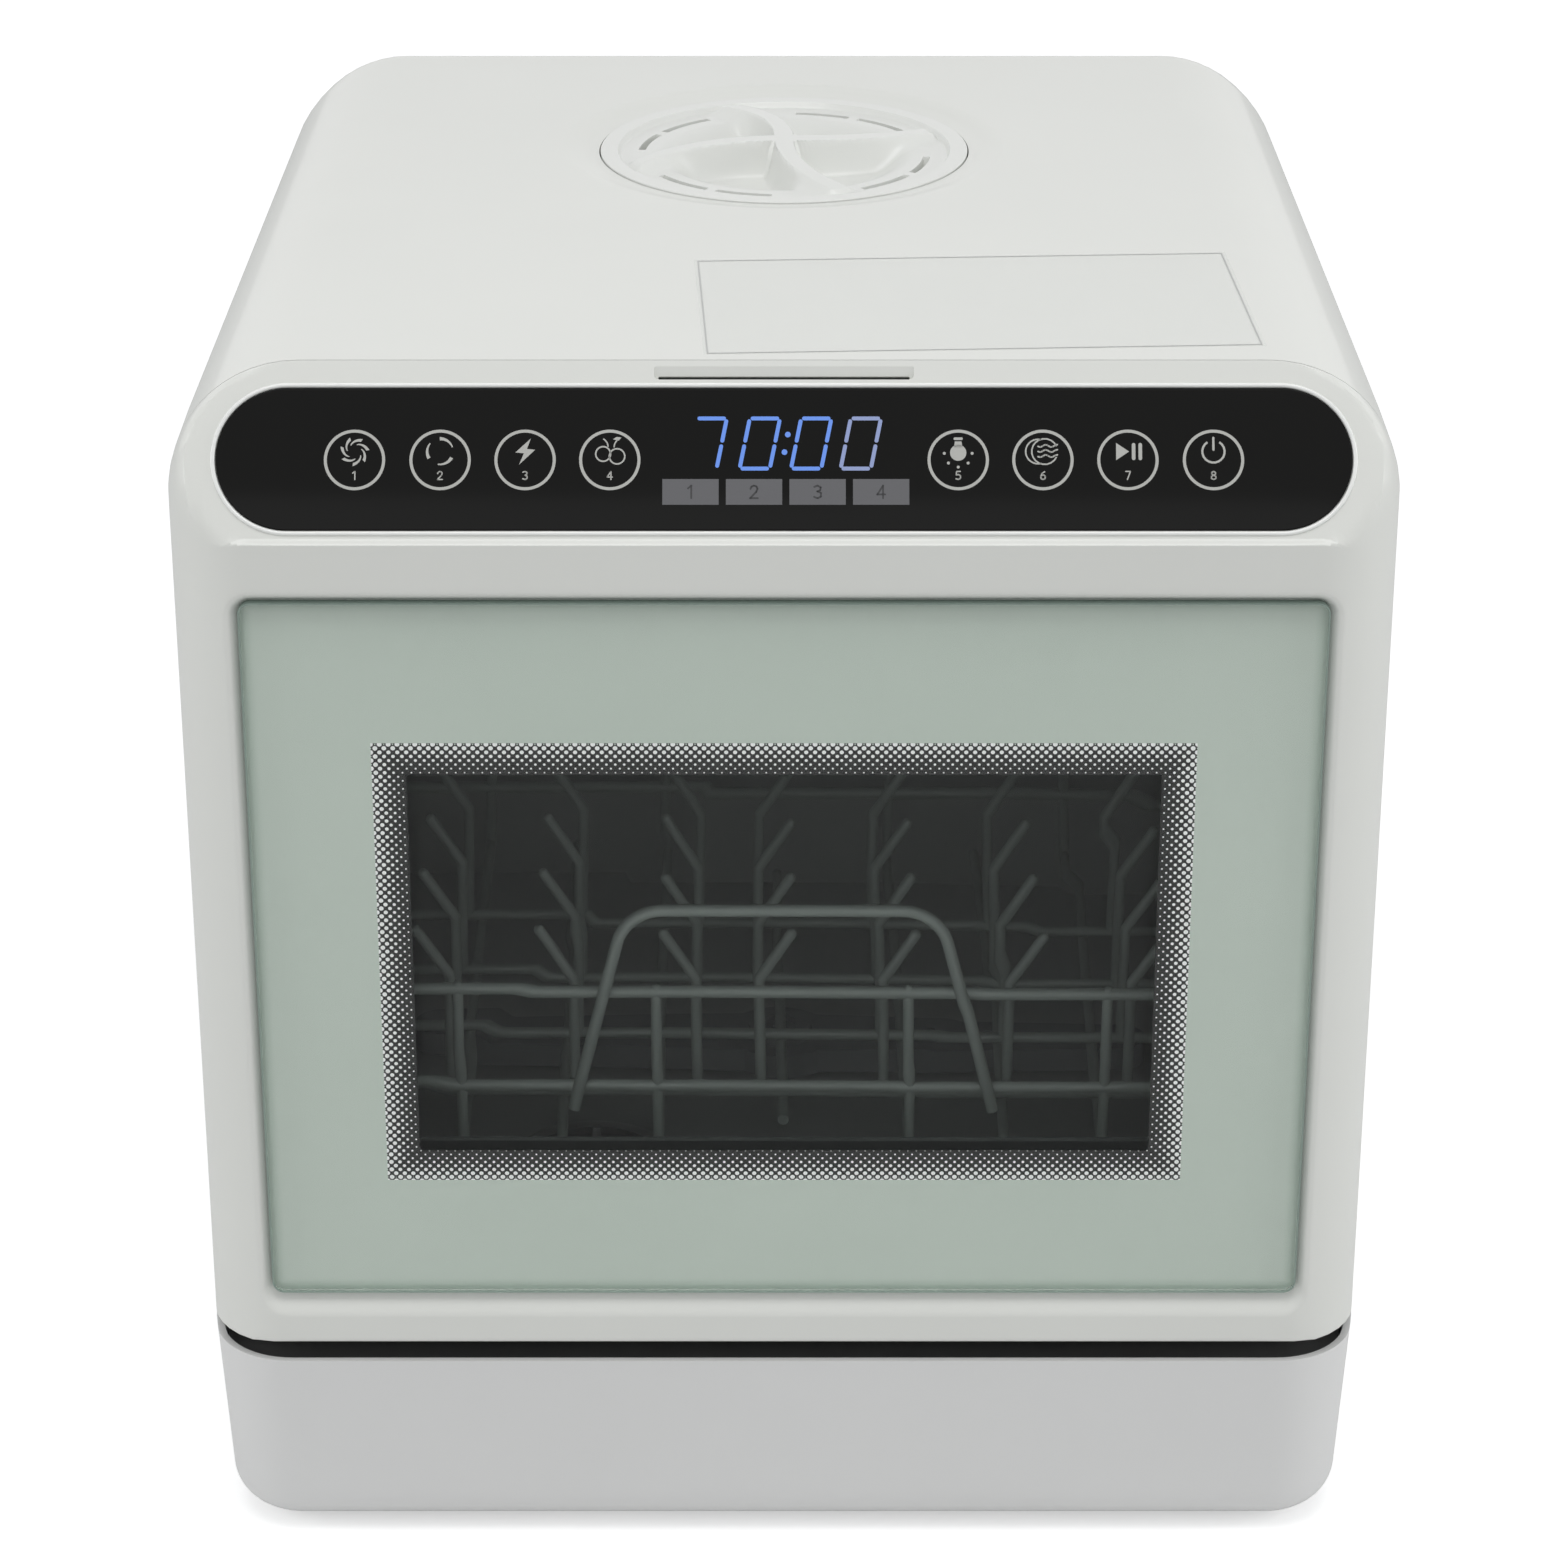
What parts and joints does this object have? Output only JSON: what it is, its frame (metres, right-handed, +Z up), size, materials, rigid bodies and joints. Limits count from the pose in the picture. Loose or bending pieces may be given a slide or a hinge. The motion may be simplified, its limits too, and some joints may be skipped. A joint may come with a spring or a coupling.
{
  "type": "countertop dishwasher",
  "caption": "Box-shaped countertop dishwasher with a drop-down glass door, a sliding wire rack, a sloping touch panel and a round tank lid in the top.",
  "frame": {"origin": "middle of the whole machine on the surface it stands on", "axes": "+Z up, the glass door faces -Y, +X to the right seen from the door"},
  "size_m": [0.412, 0.452, 0.4445],
  "materials": {
    "white_shell": "satin white",
    "base_white": "satin light grey",
    "black_glass": "gloss back-printed black",
    "green_glass": "gloss back-printed pale green",
    "clear_glass": "clear tempered",
    "chamber_grey": "moulded dark grey",
    "liner_grey": "moulded grey",
    "coated_wire": "grey nylon coat",
    "dark_rubber": "matt",
    "black_plastic": "matt black",
    "steel": "zinc plated",
    "tank_plastic": "natural polypropylene",
    "pump_plastic": "glass-filled nylon",
    "pale_plastic": "natural acetal",
    "circuit_board": "solder mask green",
    "grey_plastic": "moulded mid grey",
    "lamp_lens": "frosted lens",
    "mesh_steel": "pressed stainless"
  },
  "bodies": {
    "body": {"outer_casing": "white_shell", "rear_panel": "white_shell", "base_skirt": "base_white", "base_plate": "base_white", "feet": "dark_rubber", "sill_tray": "black_plastic", "wash_tub": "chamber_grey", "door_gasket": "dark_rubber", "rack_rail_left": "steel", "rack_rail_right": "steel", "hinge_bracket_left": "steel", "hinge_bracket_right": "steel", "latch_keeper": "steel", "door_switch": "black_plastic", "water_tank": "tank_plastic", "fill_collar": "grey_plastic", "sump_cup": "grey_plastic", "spray_spindle": "grey_plastic", "wash_pump": "pump_plastic", "drain_pump": "pump_plastic", "heater": "steel", "wash_hose": "dark_rubber", "drain_hose": "dark_rubber", "fill_hose": "dark_rubber", "inlet_spout": "black_plastic", "drain_spout": "black_plastic", "fan_housing": "pump_plastic", "air_duct": "grey_plastic", "chamber_lamp": "lamp_lens", "power_board": "circuit_board", "cord_gland": "black_plastic", "cover_screws": "steel"},
    "door": {"door_front": "white_shell", "front_glass": "green_glass", "door_liner": "liner_grey", "inner_glass": "clear_glass", "touch_window": "black_glass", "display_module": "black_plastic", "control_board": "circuit_board", "hinge_arm_left": "steel", "hinge_arm_right": "steel", "latch_hook": "steel"},
    "rack": {"rack_front": "coated_wire", "rack_back": "coated_wire", "rack_left": "coated_wire", "rack_right": "coated_wire", "rack_floor": "coated_wire", "rack_handle": "coated_wire", "tine_row_1": "coated_wire", "tine_row_2": "coated_wire", "tine_row_3": "coated_wire", "tine_row_4": "coated_wire"},
    "lid_seat": {"lid_seal": "dark_rubber"},
    "lid": {"tank_lid": "white_shell"},
    "filter": {"filter_basket": "mesh_steel"},
    "spray": {"spray_arm": "grey_plastic"},
    "wash_rotor": {"wash_impeller": "pale_plastic"},
    "drain_rotor": {"drain_impeller": "pale_plastic"},
    "tank_float": {"float": "pale_plastic"},
    "fan": {"fan_rotor": "pale_plastic"},
    "switch_pin": {"switch_plunger": "pale_plastic"}
  },
  "joints": [
    {"name": "door_hinge", "type": "hinge", "parent": "body", "child": "door", "pos_m": [0, -0.214, 0.0905], "axis": [1, 0, 0], "range_deg": [0, 90]},
    {"name": "rack_slide", "type": "slide", "parent": "body", "child": "rack", "axis": [0, -1, 0], "range_m": [0, 0.107]},
    {"name": "lid_lift", "type": "slide", "parent": "body", "child": "lid_seat", "axis": [0, 0, 1], "range_m": [0, 0.06]},
    {"name": "lid_turn", "type": "hinge", "parent": "lid_seat", "child": "lid", "pos_m": [0, 0.059, 0.44], "axis": [0, 0, 1], "range_deg": [0, 45]},
    {"name": "filter_turn", "type": "hinge", "parent": "body", "child": "filter", "pos_m": [-0.07, -0.111, 0.096], "axis": [0, 0, 1], "range_deg": [0, 45]},
    {"name": "spray_arm_spin", "type": "hinge", "parent": "body", "child": "spray", "pos_m": [0, -0.0324, 0.105], "axis": [0, 0, 1], "continuous": true},
    {"name": "wash_impeller_spin", "type": "hinge", "parent": "body", "child": "wash_rotor", "pos_m": [0, -0.111, 0.042], "axis": [1, 0, 0], "continuous": true},
    {"name": "drain_impeller_spin", "type": "hinge", "parent": "body", "child": "drain_rotor", "pos_m": [-0.07, -0.056, 0.042], "axis": [0, 1, 0], "continuous": true},
    {"name": "fan_spin", "type": "hinge", "parent": "body", "child": "fan", "pos_m": [0.14, -0.106, 0.38], "axis": [0, 0, 1], "continuous": true},
    {"name": "float_rise", "type": "slide", "parent": "body", "child": "tank_float", "axis": [0, 0, 1], "range_m": [0, 0.02]},
    {"name": "switch_press", "type": "slide", "parent": "body", "child": "switch_pin", "axis": [0, -1, 0], "range_m": [0, 0.003]}
  ],
  "couplings": [
    {"joint": "rack_slide", "follows": "door_hinge", "m_per_rad": 0.068},
    {"joint": "switch_press", "follows": "door_hinge", "m_per_rad": 0.0019}
  ]
}
